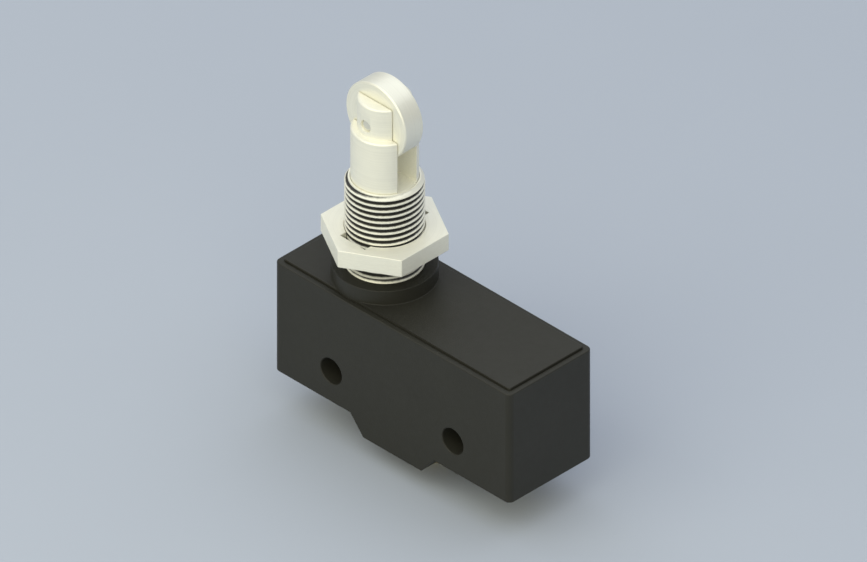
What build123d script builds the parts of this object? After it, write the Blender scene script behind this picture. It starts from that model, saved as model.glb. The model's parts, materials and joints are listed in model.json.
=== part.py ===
from build123d import *
import os
from math import sin

# A large snap-action switch for a panel, worked by a plunger with a cross roller. Millimetres.
# The origin is on the plunger's axis, at the collar's top face, which is where a panel lies.
# +Z points out along the plunger, +X along the case, and Y across it.

# Case
case_length = 49.2
case_width = 17.45
case_height = 19.6
plunger_inset = 14.4
case_corner_radius = 1.0
end_wall = 2.3
side_wall = 2.5
cavity_corner_radius = 0.5
cavity_depth = 7.9
block_top_length = 17.5
block_bottom_length = 12.1
block_depth = 3.2
side_hole_radius = 2.18
side_hole_spacing = 25.4
side_hole_rise = 5.5

# Cover and its collar
cover_thickness = 2.4
cover_raise = 0.4
cover_margin = 1.0
cover_corner_radius = 0.4
collar_radius = 8.0
collar_height = 2.5

# Threaded bushing
thread_radius = 6.0
bushing_height = 15.5
bushing_chamfer = 0.4
bushing_foot_radius = 6.9
bushing_foot_drop = 0.8

# Panel nut
nut_across_flats = 17.0
nut_thickness = 3.0
nut_rise = 3.6
nut_clearance = 0.05
nut_notch_width = 5.1
nut_notch_length = 13.4

# Plunger and roller
plunger_radius = 5.1
plunger_clearance = 0.08
plunger_travel = 4.0
fork_step_rise = 8.9
fork_height = 14.35
fork_cheek_radius = 4.1
fork_gap = 4.0
fork_chamfer = 0.2
plunger_flange_radius = 5.6
plunger_flange_thickness = 1.0
plunger_flange_drop = 0.6
plunger_flange_flats = 10.6
flange_clearance = 0.1
spring_bore_radius = 3.2
spring_bore_cap = 3.5
roller_radius = 6.3
roller_width = 3.8
roller_rise = 10.75
roller_chamfer = 0.2
pin_radius = 1.0
pin_length = 7.5
pin_clearance = 0.05

# Spring, its seat and the push button
button_travel = 0.3
button_radius = 1.2
button_clearance = 0.05
button_flange_radius = 2.0
button_flange_thickness = 0.6
guide_length = 14.0
guide_thickness = 1.4
guide_clearance = 0.1
guide_ledge = 1.2
guide_foot_length = 1.0
guide_foot_width = 1.3
stop_gap = 0.05
seat_radius = 3.0
seat_thickness = 0.6
seat_spigot_radius = 1.6
seat_spigot_height = 1.3
seat_socket_depth = 1.0
spring_wire_radius = 0.35
spring_wire_sides = 6
spring_mean_radius = 2.4
spring_turns = 4

# Snap blade
blade_thickness = 0.3
blade_width = 6.4
blade_leaf_width = 2.2
blade_head_length = 14.4
blade_taper_length = 3.0
blade_tip_width = 4.4
blade_tip_margin = 0.4
hook_bar_width = 1.0
hook_frame_width = 1.0
bow_width = 1.5
bow_sag = 1.75
bow_room = 0.15
button_tip_gap = 0.02
button_nose_length = 1.93
button_nose_radius = 0.4
button_nose_taper = 0.7

# Contacts
contact_inset = 3.1
contact_radius = 1.5
contact_height = 0.8
contact_face_radius = 0.9
contact_bevel = 0.15
contact_shank_radius = 0.8
contact_overlap = 0.1
contact_air = 0.015
rivet_head_radius = 1.2
rivet_head_height = 0.3
closed_contact_height = 1.0

# Terminals
strip_thickness = 1.0
strip_width = 6.8
open_strip_width = 6.0
post_inset = 1.2
post_width = 3.2
post_rise = 1.0
hook_depth = 0.2
hook_height = 0.7
notch_depth = 0.3
notch_height = 1.0
window_clearance = 0.3
blade_edge_gap = 0.05
terminal_inset = 7.1
terminal_plate_width = 7.5
terminal_plate_reach = 3.9
open_plate_reach = 4.8
terminal_boss_radius = 3.0
terminal_boss_height = 2.5
terminal_tip_margin = 1.8

# Terminal screws and toothed washers
screw_radius = 1.98
tapped_radius = 2.0
screw_length = 4.4
screw_room = 0.2
screw_head_radius = 3.75
screw_head_height = 2.0
screw_head_chamfer = 0.5
screw_slot_width = 1.0
screw_slot_depth = 1.1
washer_thickness = 0.6
washer_bore_radius = 2.15
washer_ring_radius = 3.2
washer_radius = 3.65
washer_tooth_width = 1.2
washer_teeth = 8

# Heights and places that follow from them
plate_top_z = -collar_height
rim_z = plate_top_z - cover_raise
case_bottom_z = rim_z - case_height
block_bottom_z = case_bottom_z - block_depth
cover_bottom_z = plate_top_z - cover_thickness
floor_z = cover_bottom_z - cavity_depth
case_offset = case_length / 2 - plunger_inset
cavity_length = case_length - 2 * end_wall
cavity_width = case_width - 2 * side_wall
cavity_left_x = case_offset - cavity_length / 2
cavity_right_x = case_offset + cavity_length / 2
hole_z = case_bottom_z + side_hole_rise

bore_radius = plunger_radius + plunger_clearance
fork_top_z = bushing_height + fork_height
fork_step_z = bushing_height + fork_step_rise
roller_z = bushing_height + roller_rise
flange_top_z = -plunger_flange_drop
flange_bottom_z = flange_top_z - plunger_flange_thickness
spring_top_z = bushing_height - spring_bore_cap

guide_top_z = flange_bottom_z - plunger_travel - stop_gap
guide_bottom_z = guide_top_z - guide_thickness
guide_width = cavity_width - 2 * guide_clearance
seat_bottom_z = guide_top_z + button_travel + stop_gap
seat_top_z = seat_bottom_z + seat_thickness
button_top_z = seat_bottom_z + seat_socket_depth
button_tip_z = guide_bottom_z - button_nose_length

post_x = cavity_left_x + post_inset
closed_upright_x = cavity_right_x - strip_thickness
contact_x = closed_upright_x - contact_inset
open_upright_x = case_offset + open_plate_reach - strip_thickness

blade_top_z = button_tip_z - button_tip_gap
blade_bottom_z = blade_top_z - blade_thickness
blade_joint_x = contact_x - blade_head_length
blade_tip_x = contact_x + contact_radius + blade_tip_margin
pivot_x = post_x + hook_depth
pivot_z = blade_top_z - blade_thickness / 2
swing = button_travel / -pivot_x
contact_drop = (contact_x + contact_face_radius - pivot_x) * sin(swing)

closed_strip_bottom_z = blade_top_z + contact_height + closed_contact_height + contact_air
closed_strip_top_z = closed_strip_bottom_z + strip_thickness
open_strip_top_z = floor_z + strip_thickness
open_contact_top_z = blade_bottom_z - contact_height - contact_drop - contact_air
strip_tip_x = contact_x + terminal_tip_margin
shoulder_top_z = blade_bottom_z - bow_room

common_x = case_offset - case_length / 2 + terminal_inset
closed_x = case_offset + case_length / 2 - terminal_inset
terminals = {
    "common": (common_x, case_bottom_z),
    "normally_open": (case_offset, block_bottom_z),
    "normally_closed": (closed_x, case_bottom_z),
}

os.makedirs("parts", exist_ok=True)

# Case: a moulded shell with a block under its middle, open at the top for the cover
with BuildPart() as case:
    with BuildSketch(Plane.XY.offset(case_bottom_z)):
        with Locations((case_offset, 0)):
            RectangleRounded(case_length, case_width, case_corner_radius)
    extrude(amount=case_height)
    with BuildSketch(Plane.XZ):
        with BuildLine():
            Polyline(
                (case_offset - block_top_length / 2, case_bottom_z),
                (case_offset - block_bottom_length / 2, block_bottom_z),
                (case_offset + block_bottom_length / 2, block_bottom_z),
                (case_offset + block_top_length / 2, case_bottom_z),
                close=True,
            )
        make_face()
    extrude(amount=case_width / 2, both=True)
    # recess for the cover, and the mechanism's room below it
    with BuildSketch(Plane.XY.offset(rim_z)):
        with Locations((case_offset, 0)):
            RectangleRounded(
                case_length - 2 * cover_margin, case_width - 2 * cover_margin, cover_corner_radius
            )
    extrude(amount=cover_bottom_z - rim_z, mode=Mode.SUBTRACT)
    with BuildSketch(Plane.XY.offset(cover_bottom_z)):
        with Locations((case_offset, 0)):
            RectangleRounded(cavity_length, cavity_width, cavity_corner_radius)
    extrude(amount=-cavity_depth, mode=Mode.SUBTRACT)
    # ledges that carry the button guide
    with BuildSketch(Plane.XY.offset(floor_z)):
        with GridLocations(0, cavity_width - guide_ledge, 1, 2):
            Rectangle(guide_length, guide_ledge)
    extrude(amount=guide_bottom_z - floor_z)
    # cross holes for the fixing screws
    with BuildSketch(Plane.XZ):
        with Locations((case_offset, hole_z)):
            with GridLocations(side_hole_spacing, 0, 2, 1):
                Circle(side_hole_radius)
    extrude(amount=case_width, both=True, mode=Mode.SUBTRACT)
    # slots that the terminal strips pass through
    with BuildSketch(Plane.XY.offset(floor_z)):
        with Locations((post_x + strip_thickness / 2, 0)):
            Rectangle(strip_thickness, strip_width)
        with Locations((closed_upright_x + strip_thickness / 2, 0)):
            Rectangle(strip_thickness, strip_width)
        with Locations((open_upright_x + strip_thickness / 2, 0)):
            Rectangle(strip_thickness, open_strip_width)
    extrude(amount=block_bottom_z - floor_z, mode=Mode.SUBTRACT)
    # pockets for the terminals' tapped bosses and the screw ends
    for terminal_x, seat_z in terminals.values():
        with BuildSketch(Plane.XY.offset(seat_z)):
            with Locations((terminal_x, 0)):
                Circle(terminal_boss_radius)
        extrude(amount=terminal_boss_height, mode=Mode.SUBTRACT)
        with BuildSketch(Plane.XY.offset(seat_z)):
            with Locations((terminal_x, 0)):
                Circle(screw_radius + screw_room)
        pocket_depth = screw_length - washer_thickness - strip_thickness + screw_room
        extrude(amount=pocket_depth, mode=Mode.SUBTRACT)
case.part.label = "case"
export_step(case.part, "parts/case.step")

# Cover: a plate set into the case, with the collar that the panel rests on
with BuildPart() as cover:
    with BuildSketch(Plane.XY.offset(cover_bottom_z)):
        with Locations((case_offset, 0)):
            RectangleRounded(
                case_length - 2 * cover_margin, case_width - 2 * cover_margin, cover_corner_radius
            )
    extrude(amount=cover_thickness)
    with BuildSketch(Plane.XY.offset(rim_z)):
        Circle(collar_radius)
    extrude(amount=-rim_z)
    # feet that hold the button guide down, clear of the plunger's flange
    with BuildSketch(Plane.XY.offset(cover_bottom_z)):
        with GridLocations(guide_length - guide_foot_length, guide_width - guide_foot_width, 2, 2):
            Rectangle(guide_foot_length, guide_foot_width)
    extrude(amount=guide_top_z - cover_bottom_z)
    with BuildSketch(Plane.XY.offset(cover_bottom_z)):
        Circle(bushing_foot_radius)
    extrude(amount=-bushing_foot_drop - cover_bottom_z, mode=Mode.SUBTRACT)
    with BuildSketch(Plane.XY):
        Circle(thread_radius)
    extrude(amount=-bushing_foot_drop, mode=Mode.SUBTRACT)
cover.part.label = "cover"
export_step(cover.part, "parts/cover.step")

# Bushing: a turned barrel with a wide foot moulded into the cover
with BuildPart() as bushing:
    with BuildSketch(Plane.XZ):
        with BuildLine():
            Polyline(
                (bore_radius, cover_bottom_z),
                (bushing_foot_radius, cover_bottom_z),
                (bushing_foot_radius, -bushing_foot_drop),
                (thread_radius, -bushing_foot_drop),
                (thread_radius, bushing_height - bushing_chamfer),
                (thread_radius - bushing_chamfer, bushing_height),
                (bore_radius, bushing_height),
                close=True,
            )
        make_face()
    revolve(axis=Axis.Z)
    # the wide lower bore has two flats that stop the plunger turning
    with BuildSketch(Plane.XY.offset(cover_bottom_z)):
        Circle(plunger_flange_radius + flange_clearance)
        Rectangle(
            plunger_flange_flats + 2 * plunger_clearance, 4 * plunger_flange_radius, mode=Mode.INTERSECT
        )
    extrude(amount=flange_top_z - cover_bottom_z, mode=Mode.SUBTRACT)
bushing.part.label = "bushing"
export_step(bushing.part, "parts/bushing.step")

# Panel nut: its bore has two notches, so that it passes over the roller when turned a quarter
with BuildPart() as panel_nut:
    with BuildSketch(Plane.XY.offset(nut_rise)):
        RegularPolygon(nut_across_flats / 2, 6, major_radius=False, rotation=30)
        Circle(thread_radius + nut_clearance, mode=Mode.SUBTRACT)
        Rectangle(nut_notch_width, nut_notch_length, mode=Mode.SUBTRACT)
    extrude(amount=nut_thickness)
panel_nut.part.label = "panel_nut"
export_step(panel_nut.part, "parts/panel_nut.step")

# Plunger: a turned fork with a keyed flange at its foot and a blind bore for the spring
with BuildPart() as plunger:
    with BuildSketch(Plane.XZ):
        with BuildLine():
            Polyline(
                (0, flange_bottom_z),
                (plunger_radius, flange_bottom_z),
                (plunger_radius, fork_step_z - fork_chamfer),
                (plunger_radius - fork_chamfer, fork_step_z),
                (fork_cheek_radius, fork_step_z),
                (fork_cheek_radius, fork_top_z - fork_chamfer),
                (fork_cheek_radius - fork_chamfer, fork_top_z),
                (0, fork_top_z),
                close=True,
            )
        make_face()
    revolve(axis=Axis.Z)
    with BuildSketch(Plane.XY.offset(flange_bottom_z)):
        Circle(plunger_flange_radius)
        Rectangle(plunger_flange_flats, 4 * plunger_flange_radius, mode=Mode.INTERSECT)
    extrude(amount=plunger_flange_thickness)
    with BuildSketch(Plane.XY.offset(flange_bottom_z)):
        Circle(spring_bore_radius)
    extrude(amount=spring_top_z - flange_bottom_z, mode=Mode.SUBTRACT)
    with BuildSketch(Plane.XY.offset(bushing_height)):
        Rectangle(4 * plunger_radius, fork_gap)
    extrude(amount=2 * fork_height, mode=Mode.SUBTRACT)
    with BuildSketch(Plane.XZ):
        with Locations((0, roller_z)):
            Circle(pin_radius)
    extrude(amount=2 * plunger_radius, both=True, mode=Mode.SUBTRACT)
plunger.part.label = "plunger"
export_step(plunger.part, "parts/plunger.step")

# Roller: a steel wheel across the fork
with BuildPart() as roller:
    with BuildSketch(Plane.XZ):
        with Locations((0, roller_z)):
            Circle(roller_radius)
            Circle(pin_radius + pin_clearance, mode=Mode.SUBTRACT)
    extrude(amount=roller_width / 2, both=True)
    rims = roller.edges().filter_by(GeomType.CIRCLE).group_by(SortBy.RADIUS)[-1]
    chamfer(rims, roller_chamfer)
roller.part.label = "roller"
export_step(roller.part, "parts/roller.step")

# Roller pin: riveted in the fork, its ends a little below the cheeks
with BuildPart() as roller_pin:
    with BuildSketch(Plane.XZ):
        with Locations((0, roller_z)):
            Circle(pin_radius)
    extrude(amount=pin_length / 2, both=True)
    chamfer(roller_pin.edges().filter_by(GeomType.CIRCLE), fork_chamfer)
roller_pin.part.label = "roller_pin"
export_step(roller_pin.part, "parts/roller_pin.step")

# Overtravel spring: stands on its seat and pushes up inside the plunger, its wire drawn six-sided
with BuildPart() as overtravel_spring:
    coil_height = spring_top_z - seat_top_z - 2 * spring_wire_radius
    with BuildLine():
        coil = Helix(
            pitch=coil_height / spring_turns,
            height=coil_height,
            radius=spring_mean_radius,
            center=(0, 0, seat_top_z + spring_wire_radius),
        )
    with BuildSketch(Plane(origin=coil @ 0, z_dir=coil % 0)):
        RegularPolygon(spring_wire_radius, spring_wire_sides)
    sweep(path=coil)
overtravel_spring.part.label = "overtravel_spring"
export_step(overtravel_spring.part, "parts/overtravel_spring.step")

# Spring seat: a moulded cap with a spigot inside the spring and a socket for the push button
with BuildPart() as spring_seat:
    with BuildSketch(Plane.XY.offset(seat_bottom_z)):
        Circle(seat_radius)
    extrude(amount=seat_thickness)
    with BuildSketch(Plane.XY.offset(seat_top_z)):
        Circle(seat_spigot_radius)
    extrude(amount=seat_spigot_height)
    with BuildSketch(Plane.XY.offset(seat_bottom_z)):
        Circle(button_radius)
    extrude(amount=seat_socket_depth, mode=Mode.SUBTRACT)
spring_seat.part.label = "spring_seat"
export_step(spring_seat.part, "parts/spring_seat.step")

# Push button: a stem with a stop flange and a tapered nose that rests on the blade
with BuildPart() as push_button:
    with BuildSketch(Plane.XZ):
        with BuildLine():
            flange_z = guide_bottom_z - button_flange_thickness
            Polyline(
                (0, button_tip_z),
                (button_nose_radius, button_tip_z),
                (button_radius, button_tip_z + button_nose_taper),
                (button_radius, flange_z),
                (button_flange_radius, flange_z),
                (button_flange_radius, guide_bottom_z),
                (button_radius, guide_bottom_z),
                (button_radius, button_top_z),
                (0, button_top_z),
                close=True,
            )
        make_face()
    revolve(axis=Axis.Z)
push_button.part.label = "push_button"
export_step(push_button.part, "parts/push_button.step")

# Button guide: a bridge across the case, on its two ledges
with BuildPart() as button_guide:
    with BuildSketch(Plane.XY.offset(guide_bottom_z)):
        Rectangle(guide_length, guide_width)
        Circle(button_radius + button_clearance, mode=Mode.SUBTRACT)
    extrude(amount=guide_thickness)
button_guide.part.label = "button_guide"
export_step(button_guide.part, "parts/button_guide.step")

# Snap blade: a centre leaf that hooks over the post, and two bowed leaves that end in its notches
with BuildPart() as snap_blade:
    hook_x = pivot_x - blade_edge_gap
    frame_start_x = hook_x - hook_bar_width
    window_end_x = post_x + strip_thickness + window_clearance
    frame_end_x = window_end_x + hook_frame_width
    with BuildSketch(Plane.XY.offset(blade_bottom_z)):
        with BuildLine():
            Polyline(
                (frame_start_x, blade_width / 2),
                (frame_end_x, blade_width / 2),
                (frame_end_x, blade_leaf_width / 2),
                (blade_joint_x, blade_leaf_width / 2),
                (blade_joint_x, blade_width / 2),
                (contact_x - blade_taper_length, blade_width / 2),
                (blade_tip_x, blade_tip_width / 2),
                (blade_tip_x, 0),
                (frame_start_x, 0),
                close=True,
            )
        make_face()
        mirror(about=Plane.XZ)
        with Locations(((hook_x + window_end_x) / 2, 0)):
            Rectangle(window_end_x - hook_x, post_width + 2 * window_clearance, mode=Mode.SUBTRACT)
        with Locations((contact_x, 0)):
            Circle(contact_shank_radius, mode=Mode.SUBTRACT)
    extrude(amount=blade_thickness)
    bow_end = (post_x + strip_thickness - notch_depth / 2, shoulder_top_z - notch_height / 2)
    bow_middle = ((blade_joint_x + bow_end[0]) / 2, bow_end[1] - bow_sag)
    with BuildSketch(Plane.XZ.offset(blade_width / 2 - bow_width)):
        with BuildLine():
            half = blade_thickness / 2
            top_arc = ThreePointArc(
                (blade_joint_x, blade_top_z),
                (bow_middle[0], bow_middle[1] + half),
                (bow_end[0], bow_end[1] + half),
            )
            bottom_arc = ThreePointArc(
                (blade_joint_x, blade_bottom_z),
                (bow_middle[0], bow_middle[1] - half),
                (bow_end[0], bow_end[1] - half),
            )
            Line(top_arc @ 0, bottom_arc @ 0)
            Line(top_arc @ 1, bottom_arc @ 1)
        make_face()
    extrude(amount=bow_width)
    mirror(about=Plane.XZ)
snap_blade.part.label = "snap_blade"
export_step(snap_blade.part, "parts/snap_blade.step")

# Moving contact: a rivet with a bevelled face on each side of the blade
with BuildPart() as moving_contact:
    with BuildSketch(Plane.XZ):
        with BuildLine():
            upper_z = blade_top_z + contact_height
            lower_z = blade_bottom_z - contact_height
            face_x = contact_x + contact_face_radius
            edge_x = contact_x + contact_radius
            neck_x = contact_x + contact_shank_radius
            Polyline(
                (contact_x, upper_z),
                (face_x, upper_z),
                (edge_x, upper_z - contact_bevel),
                (edge_x, blade_top_z),
                (neck_x, blade_top_z),
                (neck_x, blade_bottom_z),
                (edge_x, blade_bottom_z),
                (edge_x, lower_z + contact_bevel),
                (face_x, lower_z),
                (contact_x, lower_z),
                close=True,
            )
        make_face()
    revolve(axis=Axis((contact_x, 0, 0), (0, 0, 1)))
moving_contact.part.label = "moving_contact"
export_step(moving_contact.part, "parts/moving_contact.step")

# Common terminal: plate, tapped boss, strip up through the case, and the post that holds the blade
with BuildPart() as common_terminal:
    plate_end_x = common_x + terminal_plate_reach
    with BuildSketch(Plane.XY.offset(case_bottom_z)):
        with Locations(((post_x + plate_end_x) / 2, 0)):
            Rectangle(plate_end_x - post_x, terminal_plate_width)
    extrude(amount=-strip_thickness)
    with BuildSketch(Plane.XY.offset(case_bottom_z)):
        with Locations((common_x, 0)):
            Circle(terminal_boss_radius)
    extrude(amount=terminal_boss_height)
    with BuildSketch(Plane.YZ.offset(post_x)):
        with Locations((0, (case_bottom_z + shoulder_top_z) / 2)):
            Rectangle(strip_width, shoulder_top_z - case_bottom_z)
        with Locations((0, (shoulder_top_z + blade_top_z + post_rise) / 2)):
            Rectangle(post_width, blade_top_z + post_rise - shoulder_top_z)
    extrude(amount=strip_thickness)
    # hook groove for the blade's edge, and the notches for its bowed leaves
    with BuildSketch(Plane.XZ):
        with Locations((post_x + hook_depth / 2, pivot_z)):
            Rectangle(hook_depth, hook_height)
    extrude(amount=post_width, both=True, mode=Mode.SUBTRACT)
    with BuildSketch(Plane.XZ):
        with BuildLine():
            face_x = post_x + strip_thickness
            Polyline(
                (face_x, bow_end[1] - notch_height / 2),
                (face_x, bow_end[1] + notch_height / 2),
                (face_x - notch_depth, bow_end[1]),
                close=True,
            )
        make_face()
    extrude(amount=strip_width, both=True, mode=Mode.SUBTRACT)
    with BuildSketch(Plane.XY.offset(case_bottom_z - strip_thickness)):
        with Locations((common_x, 0)):
            Circle(tapped_radius)
    extrude(amount=strip_thickness + terminal_boss_height, mode=Mode.SUBTRACT)
common_terminal.part.label = "common_terminal"
export_step(common_terminal.part, "parts/common_terminal.step")

# Normally open terminal: plate under the block, strip up to the floor and along it to the contact
with BuildPart() as normally_open_terminal:
    open_plate_start_x = case_offset - terminal_plate_reach
    open_plate_end_x = open_upright_x + strip_thickness
    with BuildSketch(Plane.XY.offset(block_bottom_z)):
        with Locations(((open_plate_start_x + open_plate_end_x) / 2, 0)):
            Rectangle(open_plate_end_x - open_plate_start_x, terminal_plate_width)
    extrude(amount=-strip_thickness)
    with BuildSketch(Plane.XY.offset(block_bottom_z)):
        with Locations((case_offset, 0)):
            Circle(terminal_boss_radius)
    extrude(amount=terminal_boss_height)
    with BuildSketch(Plane.XY.offset(block_bottom_z)):
        with Locations((open_upright_x + strip_thickness / 2, 0)):
            Rectangle(strip_thickness, open_strip_width)
    extrude(amount=open_strip_top_z - block_bottom_z)
    with BuildSketch(Plane.XY.offset(floor_z)):
        with Locations(((open_upright_x + strip_tip_x) / 2, 0)):
            Rectangle(strip_tip_x - open_upright_x, open_strip_width)
        with Locations((contact_x, 0)):
            Circle(contact_shank_radius, mode=Mode.SUBTRACT)
    extrude(amount=strip_thickness)
    with BuildSketch(Plane.XY.offset(block_bottom_z - strip_thickness)):
        with Locations((case_offset, 0)):
            Circle(tapped_radius)
    extrude(amount=strip_thickness + terminal_boss_height, mode=Mode.SUBTRACT)
normally_open_terminal.part.label = "normally_open_terminal"
export_step(normally_open_terminal.part, "parts/normally_open_terminal.step")

# Normally closed terminal: plate, strip up beside the end wall, and an arm back over the contact
with BuildPart() as normally_closed_terminal:
    closed_plate_start_x = closed_x - terminal_plate_reach
    arm_start_x = contact_x - terminal_tip_margin
    with BuildSketch(Plane.XY.offset(case_bottom_z)):
        with Locations(((closed_plate_start_x + cavity_right_x) / 2, 0)):
            Rectangle(cavity_right_x - closed_plate_start_x, terminal_plate_width)
    extrude(amount=-strip_thickness)
    with BuildSketch(Plane.XY.offset(case_bottom_z)):
        with Locations((closed_x, 0)):
            Circle(terminal_boss_radius)
    extrude(amount=terminal_boss_height)
    with BuildSketch(Plane.XY.offset(case_bottom_z)):
        with Locations((closed_upright_x + strip_thickness / 2, 0)):
            Rectangle(strip_thickness, strip_width)
    extrude(amount=closed_strip_top_z - case_bottom_z)
    with BuildSketch(Plane.XY.offset(closed_strip_bottom_z)):
        with Locations(((arm_start_x + cavity_right_x) / 2, 0)):
            Rectangle(cavity_right_x - arm_start_x, strip_width)
        with Locations((contact_x, 0)):
            Circle(contact_shank_radius, mode=Mode.SUBTRACT)
    extrude(amount=strip_thickness)
    with BuildSketch(Plane.XY.offset(case_bottom_z - strip_thickness)):
        with Locations((closed_x, 0)):
            Circle(tapped_radius)
    extrude(amount=strip_thickness + terminal_boss_height, mode=Mode.SUBTRACT)
normally_closed_terminal.part.label = "normally_closed_terminal"
export_step(normally_closed_terminal.part, "parts/normally_closed_terminal.step")

# Normally open contact: a flat rivet in the lower strip
with BuildPart() as normally_open_contact:
    with BuildSketch(Plane.XY.offset(open_strip_top_z)):
        with Locations((contact_x, 0)):
            Circle(contact_radius + contact_overlap)
    extrude(amount=open_contact_top_z - open_strip_top_z)
    with BuildSketch(Plane.XY.offset(floor_z)):
        with Locations((contact_x, 0)):
            Circle(contact_shank_radius)
    extrude(amount=strip_thickness)
normally_open_contact.part.label = "normally_open_contact"
export_step(normally_open_contact.part, "parts/normally_open_contact.step")

# Normally closed contact: a flat rivet under the upper arm, headed over on top
with BuildPart() as normally_closed_contact:
    with BuildSketch(Plane.XY.offset(closed_strip_bottom_z)):
        with Locations((contact_x, 0)):
            Circle(contact_radius + contact_overlap)
    extrude(amount=-closed_contact_height)
    with BuildSketch(Plane.XY.offset(closed_strip_bottom_z)):
        with Locations((contact_x, 0)):
            Circle(contact_shank_radius)
    extrude(amount=strip_thickness)
    with BuildSketch(Plane.XY.offset(closed_strip_top_z)):
        with Locations((contact_x, 0)):
            Circle(rivet_head_radius)
    extrude(amount=rivet_head_height)
normally_closed_contact.part.label = "normally_closed_contact"
export_step(normally_closed_contact.part, "parts/normally_closed_contact.step")

# A slotted screw and a toothed washer under each terminal
for terminal_name, (terminal_x, seat_z) in terminals.items():
    washer_top_z = seat_z - strip_thickness
    head_top_z = washer_top_z - washer_thickness
    with BuildPart() as washer:
        with BuildSketch(Plane.XY.offset(washer_top_z)):
            with Locations((terminal_x, 0)):
                Circle(washer_ring_radius)
                tooth_length = washer_radius - washer_bore_radius
                with PolarLocations(washer_radius - tooth_length / 2, washer_teeth):
                    Rectangle(tooth_length, washer_tooth_width)
                Circle(washer_bore_radius, mode=Mode.SUBTRACT)
        extrude(amount=-washer_thickness)
    washer.part.label = f"{terminal_name}_washer"
    export_step(washer.part, f"parts/{terminal_name}_washer.step")

    with BuildPart() as screw:
        with BuildSketch(Plane.XY.offset(head_top_z)):
            with Locations((terminal_x, 0)):
                Circle(screw_head_radius)
        extrude(amount=-screw_head_height)
        chamfer(screw.faces().sort_by(Axis.Z)[0].edges(), screw_head_chamfer)
        with BuildSketch(Plane.XY.offset(head_top_z - screw_head_height)):
            with Locations((terminal_x, 0)):
                Rectangle(screw_slot_width, 3 * screw_head_radius)
        extrude(amount=screw_slot_depth, mode=Mode.SUBTRACT)
        with BuildSketch(Plane.XY.offset(head_top_z)):
            with Locations((terminal_x, 0)):
                Circle(screw_radius)
        extrude(amount=screw_length)
    screw.part.label = f"{terminal_name}_screw"
    export_step(screw.part, f"parts/{terminal_name}_screw.step")
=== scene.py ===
import json
from math import cos, hypot, pi, radians, sin

import bmesh
import bpy
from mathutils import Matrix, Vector


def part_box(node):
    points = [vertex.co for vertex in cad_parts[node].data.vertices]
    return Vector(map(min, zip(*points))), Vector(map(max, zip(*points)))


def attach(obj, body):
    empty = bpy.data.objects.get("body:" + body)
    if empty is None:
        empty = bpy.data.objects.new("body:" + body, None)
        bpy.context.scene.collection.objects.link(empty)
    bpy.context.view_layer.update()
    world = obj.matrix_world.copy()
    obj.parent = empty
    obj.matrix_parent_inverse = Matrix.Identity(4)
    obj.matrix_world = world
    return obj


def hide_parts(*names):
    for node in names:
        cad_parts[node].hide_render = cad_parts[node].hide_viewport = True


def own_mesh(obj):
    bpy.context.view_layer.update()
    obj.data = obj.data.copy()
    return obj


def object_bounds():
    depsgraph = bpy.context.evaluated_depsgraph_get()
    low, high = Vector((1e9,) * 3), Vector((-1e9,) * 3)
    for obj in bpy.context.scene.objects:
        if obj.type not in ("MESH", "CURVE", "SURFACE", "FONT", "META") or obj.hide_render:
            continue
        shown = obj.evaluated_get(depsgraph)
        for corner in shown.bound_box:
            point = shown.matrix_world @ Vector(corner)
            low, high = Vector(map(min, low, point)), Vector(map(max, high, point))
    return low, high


# Plunger micro switch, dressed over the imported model. Metres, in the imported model's frame.
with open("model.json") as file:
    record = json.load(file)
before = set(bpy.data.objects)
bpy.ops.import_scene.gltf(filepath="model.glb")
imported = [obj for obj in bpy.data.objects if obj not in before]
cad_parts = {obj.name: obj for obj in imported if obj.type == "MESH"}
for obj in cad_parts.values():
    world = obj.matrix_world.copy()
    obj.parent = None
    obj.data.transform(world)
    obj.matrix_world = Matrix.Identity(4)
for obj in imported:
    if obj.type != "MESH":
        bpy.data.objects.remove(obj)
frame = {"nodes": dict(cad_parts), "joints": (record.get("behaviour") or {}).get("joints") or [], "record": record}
cad_low, cad_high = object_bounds()
nodes = frame["nodes"]
joints = {joint["name"]: joint for joint in frame["joints"]}
slot_of = {part["node"]: part["material_slot"] for part in frame["record"]["subparts"]}

# Camera: the picture is an isometric view, 867 x 562 pixels at 6767 pixels to the metre
photo_width = 867
pixels_per_metre = 6767
view_target = Vector((0.0102, 0, 0.00135))
view_back = Vector((1, -1, 1)).normalized()
camera_distance = 0.6
clip_start = 0.01
clip_end = 10

# Bushing: a barrel with a bore, a keyed lower bore and a foot in the cover
thread_radius = 0.006
bushing_chamfer = 0.00055
chamfer_apex = thread_radius - bushing_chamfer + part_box("bushing")[1].z
bushing_bore = 0.00518
bore_end = -0.0006
foot_top = -0.0008
key_radius = 0.0057
key_half_width = 0.00538
least_cosine = 1e-6
bushing_steps = 144

# Its thread: M12 x 1, right-hand, cut from the top chamfer down to the collar
thread_pitch = 0.001
thread_crest = 0.00016
thread_root = 0.00024
groove_depth = 0.0005
groove_start = 0.0005
groove_fade = 0.0006

# Painted shade in the grooves, darkening the thread towards its roots: it starts and is full at these shares of
# the groove's depth, and only faces within the band below the barrel's outside take the finish with the painted
# groove shade
groove_shade_start = 0.15
groove_shade_full = 0.55
groove_shade_wander = 0.00003
groove_shaded_band = 1.2 * bushing_chamfer

# Spring
coil_turns = 4
coil_steps = 40
wire_sides = 14
wire_radius = 0.00035

# Rounded edges
case_edge = 0.00018
cover_edge = 0.00012
nut_edge = 0.00010
fine_edge = 0.00006
edge_segments = 2
sharp_angle = radians(28)
flat_angle = radians(0.5)
join_distance = 1e-6
degenerate_length = 1e-7

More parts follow.
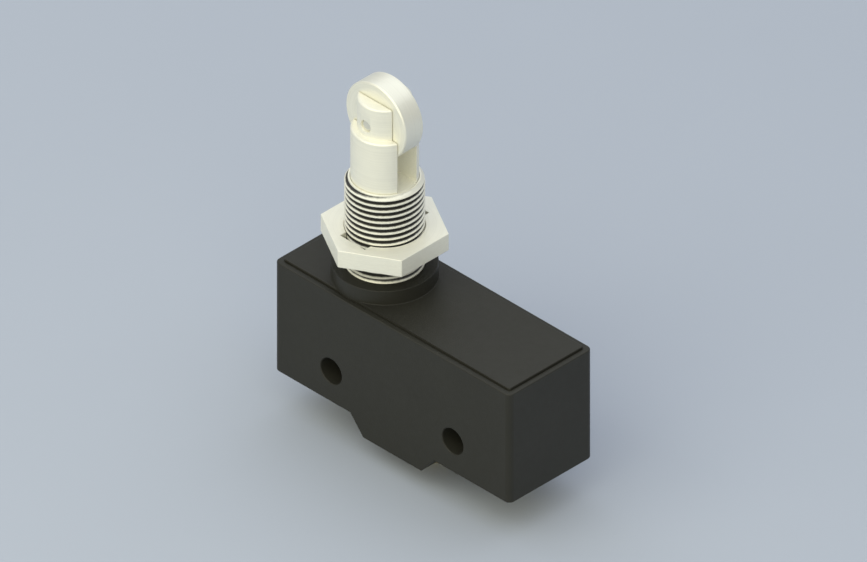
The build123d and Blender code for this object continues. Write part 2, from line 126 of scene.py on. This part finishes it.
# Colours, and how the finishes are made up
dark_plastic = (0.0272, 0.0264, 0.0208)
pale_plastic = (0.60, 0.56, 0.44)
bright_metal = (0.93, 0.912, 0.80)
pin_steel = (0.78, 0.765, 0.68)
# near-black colour of the painted shade in the thread's grooves
painted_groove_shade = (0.038, 0.037, 0.034)
brass = (0.66, 0.53, 0.22)
copper = (0.72, 0.36, 0.18)
silver = (0.86, 0.86, 0.85)
spring_steel = (0.42, 0.42, 0.43)
smudge_share = 0.4
rolled_stretch = (0.06, 1, 1)
noise_low, noise_high = 0.3, 0.7

# Floor and light
floor_colour = (0.46, 0.50, 0.58)
floor_half = 1.5
world_colour = (0.93, 0.96, 1.0)
world_strength = 0.4


# Materials


def new_material(name):
    material = bpy.data.materials.new(name)
    material.use_nodes = True
    tree = material.node_tree
    return material, tree, tree.nodes["Principled BSDF"]


def add(tree, kind, settings=None, **inputs):
    """A new shader node. An input is named, or i and its number; it is a value or an output."""
    made = tree.nodes.new(kind)
    for name, value in (settings or {}).items():
        setattr(made, name, value)
    for name, value in inputs.items():
        numbered = name[0] == "i" and name[1:].isdigit()
        socket = made.inputs[int(name[1:]) if numbered else name]
        if isinstance(value, bpy.types.NodeSocket):
            tree.links.new(value, socket)
        else:
            socket.default_value = value
    return made


def maths(tree, operation, *values):
    inputs = {f"i{k}": value for k, value in enumerate(values)}
    return add(tree, "ShaderNodeMath", {"operation": operation}, **inputs).outputs[0]


def vector_maths(tree, operation, first, second):
    made = add(tree, "ShaderNodeVectorMath", {"operation": operation}, i0=first, i1=second)
    return made.outputs[0]


def noise(tree, place, scale, detail=3.0, roughness=0.5):
    inputs = {"Vector": place, "Scale": scale, "Detail": detail, "Roughness": roughness}
    return add(tree, "ShaderNodeTexNoise", **inputs).outputs["Fac"]


def spread(tree, value, low, high, start=noise_low, end=noise_high):
    """Spreads a value from low to high; noise lies mostly between noise_low and noise_high."""
    made = add(tree, "ShaderNodeMapRange", i0=value, i1=start, i2=end, i3=low, i4=high)
    return made.outputs[0]


def around(tree, value, middle, reach):
    return spread(tree, value, middle - reach, middle + reach)


def mixed(tree, share, first, second):
    made = add(
        tree,
        "ShaderNodeMix",
        {"data_type": "RGBA"},
        i0=share,
        i6=tuple(first) + (1,),
        i7=tuple(second) + (1,),
    )
    return made.outputs[2]


def tinted(tree, value, colour, change):
    """The colour, darker and lighter by a share as value goes from 0 to 1."""
    dark = [part * (1 - change) for part in colour]
    light = [min(1, part * (1 + change)) for part in colour]
    return mixed(tree, value, dark, light)


def bump(tree, height, depth):
    made = add(tree, "ShaderNodeBump", Height=height, Distance=depth, Strength=1.0)
    return made.outputs["Normal"]


def object_place(tree):
    return add(tree, "ShaderNodeTexCoord").outputs["Object"]


def wire_up(tree, shader, colour, normal, gloss=None):
    tree.links.new(colour, shader.inputs["Base Color"])
    tree.links.new(normal, shader.inputs["Normal"])
    if gloss is not None:
        tree.links.new(gloss, shader.inputs["Roughness"])


def moulded_plastic(name, colour, roughness, grain_depth, specular):
    """Moulding with a fine eroded grain and a slow drift of tone and gloss."""
    material, tree, shader = new_material(name)
    shader.inputs["Specular IOR Level"].default_value = specular
    place = object_place(tree)
    tone = tinted(tree, noise(tree, place, scale=120, detail=2.0), colour, change=0.10)
    gloss = around(tree, noise(tree, place, scale=900), roughness, reach=0.03)
    grain = noise(tree, place, scale=5200, detail=2.0, roughness=0.6)
    wire_up(tree, shader, tone, bump(tree, grain, grain_depth), gloss)
    return material


def ring_place(tree, axis, centre):
    """Distance from an axis and height along it: noise over them runs round in rings."""
    shift = vector_maths(tree, "SUBTRACT", object_place(tree), tuple(centre))
    parts = add(tree, "ShaderNodeSeparateXYZ", i0=shift).outputs
    across = [parts[k] for k in range(3) if k != axis]
    flat = add(tree, "ShaderNodeCombineXYZ", i0=across[0], i1=across[1]).outputs[0]
    length = add(tree, "ShaderNodeVectorMath", {"operation": "LENGTH"}, i0=flat)
    made = add(tree, "ShaderNodeCombineXYZ", i0=length.outputs["Value"], i1=parts[axis])
    return made.outputs[0]


def tool_marks(tree, rings, scale=6000):
    return noise(tree, rings, scale, detail=4.0, roughness=0.7)


def turned_metal(name, colour, metallic, roughness, mark_depth, axis=2, centre=(0, 0, 0)):
    """Metal with fine tool marks that run round an axis, and faint smudges."""
    material, tree, shader = new_material(name)
    shader.inputs["Metallic"].default_value = metallic
    rings = ring_place(tree, axis, centre)
    smudge = noise(tree, object_place(tree), scale=350)
    lines = tool_marks(tree, rings, scale=3500)
    worn = maths(tree, "MULTIPLY_ADD", smudge, smudge_share, lines)
    tone = tinted(tree, spread(tree, worn, 0, 1, start=0.5, end=0.9), colour, change=0.035)
    gloss = around(tree, noise(tree, rings, scale=2500), roughness, reach=0.08)
    wire_up(tree, shader, tone, bump(tree, tool_marks(tree, rings), mark_depth), gloss)
    return material


def groove_shaded_thread(name, clean, shade_colour, metallic, roughness, mark_depth):
    """The bushing's metal, darkened by painted shade where it lies below the uncut blank's surface."""
    material, tree, shader = new_material(name)
    shader.inputs["Metallic"].default_value = metallic
    shader.inputs["Roughness"].default_value = roughness
    rings = ring_place(tree, 2, (0, 0, 0))
    radius, height = add(tree, "ShaderNodeSeparateXYZ", i0=rings).outputs[:2]
    cone = maths(tree, "SUBTRACT", chamfer_apex, height)
    blank = maths(tree, "MINIMUM", thread_radius, cone)
    below = maths(tree, "SUBTRACT", blank, radius)
    wander = around(tree, noise(tree, object_place(tree), scale=1500), 0, groove_shade_wander)
    # Painted shade: the share of the dark groove colour grows with depth below the blank's surface
    share = add(
        tree,
        "ShaderNodeMapRange",
        {"interpolation_type": "SMOOTHSTEP"},
        i0=maths(tree, "ADD", below, wander),
        i1=groove_shade_start * groove_depth,
        i2=groove_shade_full * groove_depth,
    ).outputs[0]
    tone = mixed(tree, share, clean, shade_colour)
    wire_up(tree, shader, tone, bump(tree, tool_marks(tree, rings), mark_depth))
    return material


def sheet_metal(name, colour, roughness, mark_depth):
    """Rolled or drawn metal, its fine marks along X, with faint stains."""
    material, tree, shader = new_material(name)
    shader.inputs["Metallic"].default_value = 1.0
    place = object_place(tree)
    stretched = vector_maths(tree, "MULTIPLY", place, rolled_stretch)
    marks = noise(tree, stretched, scale=9000, detail=4.0, roughness=0.6)
    stains = noise(tree, place, scale=500, detail=4.0, roughness=0.6)
    tone = tinted(tree, stains, colour, change=0.10)
    gloss = around(tree, noise(tree, place, scale=1500), roughness, reach=0.06)
    wire_up(tree, shader, tone, bump(tree, marks, mark_depth), gloss)
    return material


def floor_material(name, colour):
    material, tree, shader = new_material(name)
    mottle = noise(tree, object_place(tree), scale=40)
    tree.links.new(tinted(tree, mottle, colour, change=0.01), shader.inputs["Base Color"])
    shader.inputs["Roughness"].default_value = 0.9
    shader.inputs["Specular IOR Level"].default_value = 0.1
    return material


roller_axis = {"axis": 1, "centre": joints["roller_spin"]["pos_m"]}
# The bushing's thread metal, with painted shade darkening its grooves
thread_metal = groove_shaded_thread(
    "thread_metal", bright_metal, painted_groove_shade, metallic=0.35, roughness=0.42, mark_depth=0.000008
)
pin_metal = turned_metal(
    "pin_metal", pin_steel, metallic=0.6, roughness=0.36, mark_depth=0.000004, **roller_axis
)
slot_materials = {
    "moulded_body": moulded_plastic(
        "dark_moulding", dark_plastic, roughness=0.45, grain_depth=0.00002, specular=0.25
    ),
    "pale_plastic": moulded_plastic(
        "pale_moulding", pale_plastic, roughness=0.42, grain_depth=0.000008, specular=0.5
    ),
    "plated_steel": turned_metal(
        "plated_metal", bright_metal, metallic=0.3, roughness=0.42, mark_depth=0.00003
    ),
    "ground_steel": turned_metal(
        "ground_metal",
        bright_metal,
        metallic=0.5,
        roughness=0.40,
        mark_depth=0.00002,
        **roller_axis,
    ),
    "terminal_brass": sheet_metal(
        "terminal_brass", brass, roughness=0.36, mark_depth=0.000008
    ),
    "spring_copper": sheet_metal(
        "spring_copper", copper, roughness=0.3, mark_depth=0.000006
    ),
    "silver_contact": sheet_metal(
        "contact_silver", silver, roughness=0.28, mark_depth=0.000004
    ),
    "spring_wire": sheet_metal(
        "spring_wire", spring_steel, roughness=0.35, mark_depth=0.000005
    ),
}


# Carried-over CAD nodes: a finish and softened edges


def soften(piece, width):
    """Joins the faces at their edges, rounds what is sharp and shades the rest smooth."""
    for polygon in piece.data.polygons:
        polygon.use_smooth = True
    if "custom_normal" in piece.data.attributes:
        piece.data.attributes.remove(piece.data.attributes["custom_normal"])
    weld = piece.modifiers.new("join", "WELD")
    weld.merge_threshold = join_distance
    flat = piece.modifiers.new("flat_faces", "DECIMATE")
    flat.decimate_type = "DISSOLVE"
    flat.angle_limit = flat_angle
    edge = piece.modifiers.new("soft_edges", "BEVEL")
    edge.width = width
    edge.segments = edge_segments
    edge.limit_method = "ANGLE"
    edge.angle_limit = sharp_angle
    edge.use_clamp_overlap = False
    smooth = piece.modifiers.new("even_shading", "WEIGHTED_NORMAL")
    smooth.keep_sharp = True


edge_widths = {"case": case_edge, "cover": cover_edge, "panel_nut": nut_edge}
for name, node in nodes.items():
    node.data.materials.clear()
    node.data.materials.append(slot_materials[slot_of[name]])
    soften(node, edge_widths.get(name, fine_edge))
nodes["roller_pin"].data.materials[0] = pin_metal


# Pieces made here: the threaded bushing and the round-wire spring


def add_piece(name, vertices, faces, body, replaced):
    """A mesh piece in a CAD node's place, with its finish; coinciding points are joined."""
    mesh = bpy.data.meshes.new(name)
    mesh.from_pydata(vertices, [], faces)
    form = bmesh.new()
    form.from_mesh(mesh)
    bmesh.ops.remove_doubles(form, verts=form.verts, dist=join_distance)
    bmesh.ops.dissolve_degenerate(form, edges=form.edges, dist=degenerate_length)
    bmesh.ops.recalc_face_normals(form, faces=form.faces)
    form.to_mesh(mesh)
    form.free()
    for polygon in mesh.polygons:
        polygon.use_smooth = True
    mesh.set_sharp_from_angle(angle=sharp_angle)
    mesh.materials.append(slot_materials[slot_of[replaced]])
    piece = bpy.data.objects.new(name, mesh)
    bpy.context.scene.collection.objects.link(piece)
    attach(piece, body)
    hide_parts(replaced)
    return piece


def ring(radius, height):
    """A row of a turned form: the radius may change with the turn."""
    if callable(radius):
        return lambda turn: (radius(turn), height)
    return lambda turn: (radius, height)


def thread_rows(crest_at, low, high):
    """Rows of a right-hand V thread; crest_at gives the blank's radius at a height."""

    def row(height_at_start, depth):
        def at(turn):
            height = min(max(height_at_start + thread_pitch * turn, low), high)
            cut = depth * min(1, (height - low) / groove_fade)
            return min(crest_at(height), thread_radius - cut), height

        return at

    rows = []
    mouth = (thread_pitch - thread_crest) / 2
    first = int((low - groove_start) / thread_pitch) - 2
    last = int((high - groove_start) / thread_pitch) + 1
    for count in range(first, last + 1):
        middle = groove_start + count * thread_pitch
        rows.append(row(middle - mouth, 0))
        rows.append(row(middle - thread_root / 2, groove_depth))
        rows.append(row(middle + thread_root / 2, groove_depth))
        rows.append(row(middle + mouth, 0))
    return rows


def turned(rows, steps):
    """Points and faces of a closed loop of rows turned about Z."""
    vertices = []
    for row in rows:
        for step in range(steps + 1):
            radius, height = row(step / steps)
            angle = 2 * pi * step / steps
            vertices.append((radius * cos(angle), radius * sin(angle), height))
    faces = []
    span = steps + 1
    for k in range(len(rows)):
        here, after = k * span, (k + 1) % len(rows) * span
        for step in range(steps):
            faces.append((here + step, here + step + 1, after + step + 1, after + step))
    return vertices, faces


def make_bushing():
    low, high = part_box("bushing")

    def keyed(turn):
        return min(key_radius, key_half_width / max(abs(cos(2 * pi * turn)), least_cosine))

    def crest_at(height):
        return min(thread_radius, chamfer_apex - height)

    rows = [
        ring(high.x, low.z),
        ring(high.x, foot_top),
        ring(thread_radius, foot_top),
        *thread_rows(crest_at, 0, high.z),
        ring(bushing_bore, high.z),
        ring(bushing_bore, bore_end),
        ring(keyed, bore_end),
        ring(keyed, low.z),
    ]
    vertices, faces = turned(rows, bushing_steps)
    piece = add_piece("threaded_bushing", vertices, faces, "housing", "bushing")
    piece.data.materials.append(thread_metal)
    for polygon in piece.data.polygons:
        points = [piece.data.vertices[k].co for k in polygon.vertices]
        innermost = min(hypot(point.x, point.y) for point in points)
        # Faces in the thread's grooves take the finish with painted groove shade
        if innermost > thread_radius - groove_shaded_band and polygon.center.z > 0:
            polygon.material_index = 1


def make_spring():
    low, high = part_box("overtravel_spring")
    mean_radius = high.x - wire_radius
    start, end = low.z + wire_radius, high.z - wire_radius
    count = coil_turns * coil_steps
    slope = (end - start) / (coil_turns * 2 * pi * mean_radius)
    length = hypot(1, slope)
    vertices = []
    for k in range(count + 1):
        angle = 2 * pi * coil_turns * k / count
        outward = Vector((cos(angle), sin(angle), 0))
        along = Vector((-sin(angle), cos(angle), slope)) / length
        upward = outward.cross(along) * -1
        centre = outward * mean_radius + Vector((0, 0, start + (end - start) * k / count))
        for side in range(wire_sides):
            turn = 2 * pi * side / wire_sides
            point = centre + outward * (wire_radius * cos(turn))
            vertices.append(point + upward * (wire_radius * sin(turn)))
    faces = []
    for k in range(count):
        here, after = k * wire_sides, (k + 1) * wire_sides
        for side in range(wire_sides):
            beside = (side + 1) % wire_sides
            faces.append((here + side, here + beside, after + beside, after + side))
    faces.append(tuple(range(wire_sides)))
    faces.append(tuple(count * wire_sides + side for side in range(wire_sides)))
    spring = add_piece("coil_spring", vertices, faces, "button", "overtravel_spring")
    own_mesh(spring)


make_bushing()
make_spring()


# Floor, light and camera


def face_towards(thing, target):
    direction = target - thing.location
    thing.rotation_euler = direction.to_track_quat("-Z", "Y").to_euler()


def softbox(name, direction, distance, width, height, radiance, colour):
    """A flat lamp aimed at the object; a lamp of radiance 1 looks white."""
    lamp = bpy.data.lights.new(name, "AREA")
    lamp.shape = "RECTANGLE"
    lamp.size = width
    lamp.size_y = height
    lamp.energy = radiance * pi * width * height
    lamp.color = colour
    holder = bpy.data.objects.new(name, lamp)
    holder.location = view_target + Vector(direction).normalized() * distance
    bpy.context.scene.collection.objects.link(holder)
    face_towards(holder, view_target)


def make_floor(height):
    mesh = bpy.data.meshes.new("floor")
    signs = ((-1, -1), (1, -1), (1, 1), (-1, 1))
    corners = [(x * floor_half, y * floor_half, height) for x, y in signs]
    mesh.from_pydata(corners, [], [(0, 1, 2, 3)])
    mesh.materials.append(floor_material("pale_floor", floor_colour))
    plane = bpy.data.objects.new("floor", mesh)
    bpy.context.scene.collection.objects.link(plane)


make_floor(cad_low.z)
softbox(
    "top_box",
    direction=(-0.15, 0.15, 1.0),
    distance=0.6,
    width=1.3,
    height=1.3,
    radiance=0.72,
    colour=(0.90, 0.95, 1.0),
)
softbox(
    "front_box",
    direction=(0.21, -0.79, 0.57),
    distance=0.5,
    width=0.9,
    height=0.6,
    radiance=1.35,
    colour=(1.0, 0.96, 0.70),
)

world = bpy.data.worlds.new("studio")
bpy.context.scene.world = world
world.use_nodes = True
background = world.node_tree.nodes["Background"]
background.inputs["Color"].default_value = world_colour + (1,)
background.inputs["Strength"].default_value = world_strength

lens = bpy.data.cameras.new("photo_camera")
lens.type = "ORTHO"
lens.ortho_scale = photo_width / pixels_per_metre
lens.clip_start = clip_start
lens.clip_end = clip_end
camera = bpy.data.objects.new("photo_camera", lens)
camera.location = view_target + view_back * camera_distance
bpy.context.scene.collection.objects.link(camera)
face_towards(camera, view_target)
bpy.context.scene.camera = camera
bpy.context.scene.view_settings.view_transform = "Standard"
